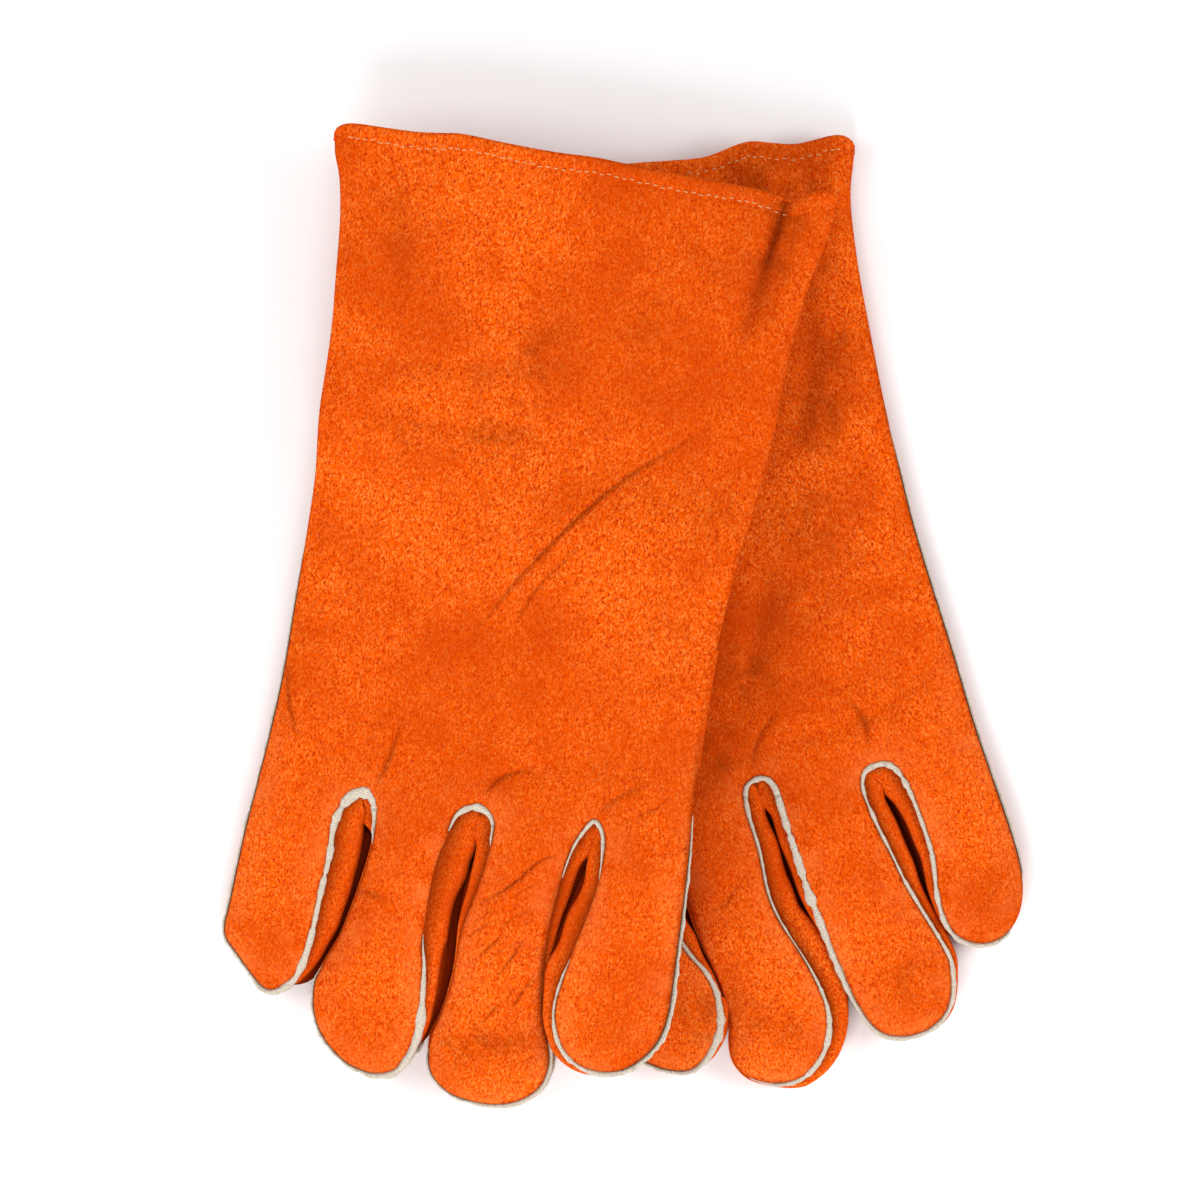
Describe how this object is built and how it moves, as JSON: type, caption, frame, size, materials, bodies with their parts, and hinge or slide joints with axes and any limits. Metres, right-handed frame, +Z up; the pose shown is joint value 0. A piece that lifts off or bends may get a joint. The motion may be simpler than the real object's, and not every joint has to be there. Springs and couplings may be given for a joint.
{
  "type": "pair of welding gloves",
  "caption": "Pair of gauntlet welding gloves in orange split leather with pale welted seams, palms down, the right one laid across the left.",
  "frame": {"origin": "centre of the pair's bounding box on the surface that it lies on", "axes": "+Z up, from palms to backs; +Y towards the cuffs' hems; fingers point to -Y; +X to the left glove's side"},
  "size_m": [0.3007, 0.3701, 0.0583],
  "materials": {
    "split_leather": "matte suede, orange",
    "welt_leather": "off-white, undyed, rough cut edges",
    "cotton_lining": "brushed cotton fleece, cream",
    "sewing_thread": "heat-resistant thread, cream"
  },
  "bodies": {
    "left_cuff": {"left_cuff_back": "split_leather", "left_cuff_lining": "cotton_lining", "left_cuff_palm": "split_leather", "left_cuff_welts": "welt_leather", "left_hem_thread": "sewing_thread"},
    "left_hand": {"left_hand_back": "split_leather", "left_hand_lining": "cotton_lining", "left_hand_palm": "split_leather", "left_hand_welts": "welt_leather", "left_thumb_strap": "split_leather"},
    "left_thumb": {"left_thumb_back": "split_leather", "left_thumb_front": "split_leather", "left_thumb_lining": "cotton_lining", "left_thumb_welt": "welt_leather"},
    "left_little": {"left_little_back": "split_leather", "left_little_fourchette": "split_leather", "left_little_palm": "split_leather", "left_little_welt": "welt_leather"},
    "left_ring": {"left_ring_back": "split_leather", "left_ring_fourchettes": "split_leather", "left_ring_palm": "split_leather", "left_ring_welt": "welt_leather"},
    "left_middle": {"left_middle_back": "split_leather", "left_middle_fourchettes": "split_leather", "left_middle_palm": "split_leather", "left_middle_welt": "welt_leather"},
    "left_index": {"left_index_back": "split_leather", "left_index_fourchette": "split_leather", "left_index_palm": "split_leather", "left_index_welt": "welt_leather"},
    "right_cuff": {"right_cuff_back": "split_leather", "right_cuff_lining": "cotton_lining", "right_cuff_palm": "split_leather", "right_cuff_welts": "welt_leather", "right_hem_thread": "sewing_thread"},
    "right_hand": {"right_hand_back": "split_leather", "right_hand_lining": "cotton_lining", "right_hand_palm": "split_leather", "right_hand_welts": "welt_leather", "right_thumb_strap": "split_leather"},
    "right_thumb": {"right_thumb_back": "split_leather", "right_thumb_front": "split_leather", "right_thumb_lining": "cotton_lining", "right_thumb_welt": "welt_leather"},
    "right_little": {"right_little_back": "split_leather", "right_little_fourchette": "split_leather", "right_little_palm": "split_leather", "right_little_welt": "welt_leather"},
    "right_ring": {"right_ring_back": "split_leather", "right_ring_fourchettes": "split_leather", "right_ring_palm": "split_leather", "right_ring_welt": "welt_leather"},
    "right_middle": {"right_middle_back": "split_leather", "right_middle_fourchettes": "split_leather", "right_middle_palm": "split_leather", "right_middle_welt": "welt_leather"},
    "right_index": {"right_index_back": "split_leather", "right_index_fourchette": "split_leather", "right_index_palm": "split_leather", "right_index_welt": "welt_leather"}
  },
  "joints": [
    {"name": "right_lift", "type": "slide", "parent": "left_cuff", "child": "right_cuff", "axis": [0, 0, 1], "range_m": [0, 0.2]},
    {"name": "left_wrist", "type": "hinge", "parent": "left_cuff", "child": "left_hand", "pos_m": [0.0182, 0.0491, 0.0075], "axis": [0.9563, 0.2924, 0], "range_deg": [0, 60], "stiffness_Nm_per_rad": 0.3},
    {"name": "left_thumb_curl", "type": "hinge", "parent": "left_hand", "child": "left_thumb", "pos_m": [-0.07466, 0.00398, 0.006], "axis": [0.9962, 0.0872, 0], "range_deg": [0, 60], "stiffness_Nm_per_rad": 0.3},
    {"name": "left_little_curl", "type": "hinge", "parent": "left_hand", "child": "left_little", "pos_m": [0.11656, -0.05781, 0.0085], "axis": [0.9563, 0.2924, 0], "range_deg": [0, 75], "stiffness_Nm_per_rad": 0.3},
    {"name": "left_ring_curl", "type": "hinge", "parent": "left_hand", "child": "left_ring", "pos_m": [0.07572, -0.06925, 0.0085], "axis": [0.9511, 0.309, 0], "range_deg": [0, 75], "stiffness_Nm_per_rad": 0.3},
    {"name": "left_middle_curl", "type": "hinge", "parent": "left_hand", "child": "left_middle", "pos_m": [0.03161, -0.0796, 0.0085], "axis": [0.9636, 0.2672, 0], "range_deg": [0, 75], "stiffness_Nm_per_rad": 0.3},
    {"name": "left_index_curl", "type": "hinge", "parent": "left_hand", "child": "left_index", "pos_m": [-0.00995, -0.08969, 0.0085], "axis": [0.9744, 0.225, 0], "range_deg": [0, 75], "stiffness_Nm_per_rad": 0.3},
    {"name": "right_wrist", "type": "hinge", "parent": "right_cuff", "child": "right_hand", "pos_m": [-0.0392, 0.0433, 0.0338], "axis": [0.961, -0.1781, 0.2113], "range_deg": [-60, 0], "stiffness_Nm_per_rad": 0.3},
    {"name": "right_thumb_swing", "type": "hinge", "parent": "right_hand", "child": "right_thumb", "pos_m": [0.01894, 0.00683, 0.03205], "axis": [-0.2167, -0.0113, 0.9762], "range_deg": [0, 50], "stiffness_Nm_per_rad": 0.3},
    {"name": "right_little_curl", "type": "hinge", "parent": "right_hand", "child": "right_little", "pos_m": [-0.12215, -0.07442, 0.01464], "axis": [0.9784, -0.176, 0.1081], "range_deg": [-45, 75], "stiffness_Nm_per_rad": 0.3},
    {"name": "right_ring_curl", "type": "hinge", "parent": "right_hand", "child": "right_ring", "pos_m": [-0.08114, -0.08098, 0.02326], "axis": [0.9753, -0.193, 0.1072], "range_deg": [-45, 75], "stiffness_Nm_per_rad": 0.3},
    {"name": "right_middle_curl", "type": "hinge", "parent": "right_hand", "child": "right_middle", "pos_m": [-0.03719, -0.08608, 0.03296], "axis": [0.978, -0.1511, 0.1439], "range_deg": [-60, 0], "stiffness_Nm_per_rad": 0.3},
    {"name": "right_index_curl", "type": "hinge", "parent": "right_hand", "child": "right_index", "pos_m": [0.00421, -0.09123, 0.0424], "axis": [0.9776, -0.1086, 0.1801], "range_deg": [-60, 0], "stiffness_Nm_per_rad": 0.3}
  ]
}
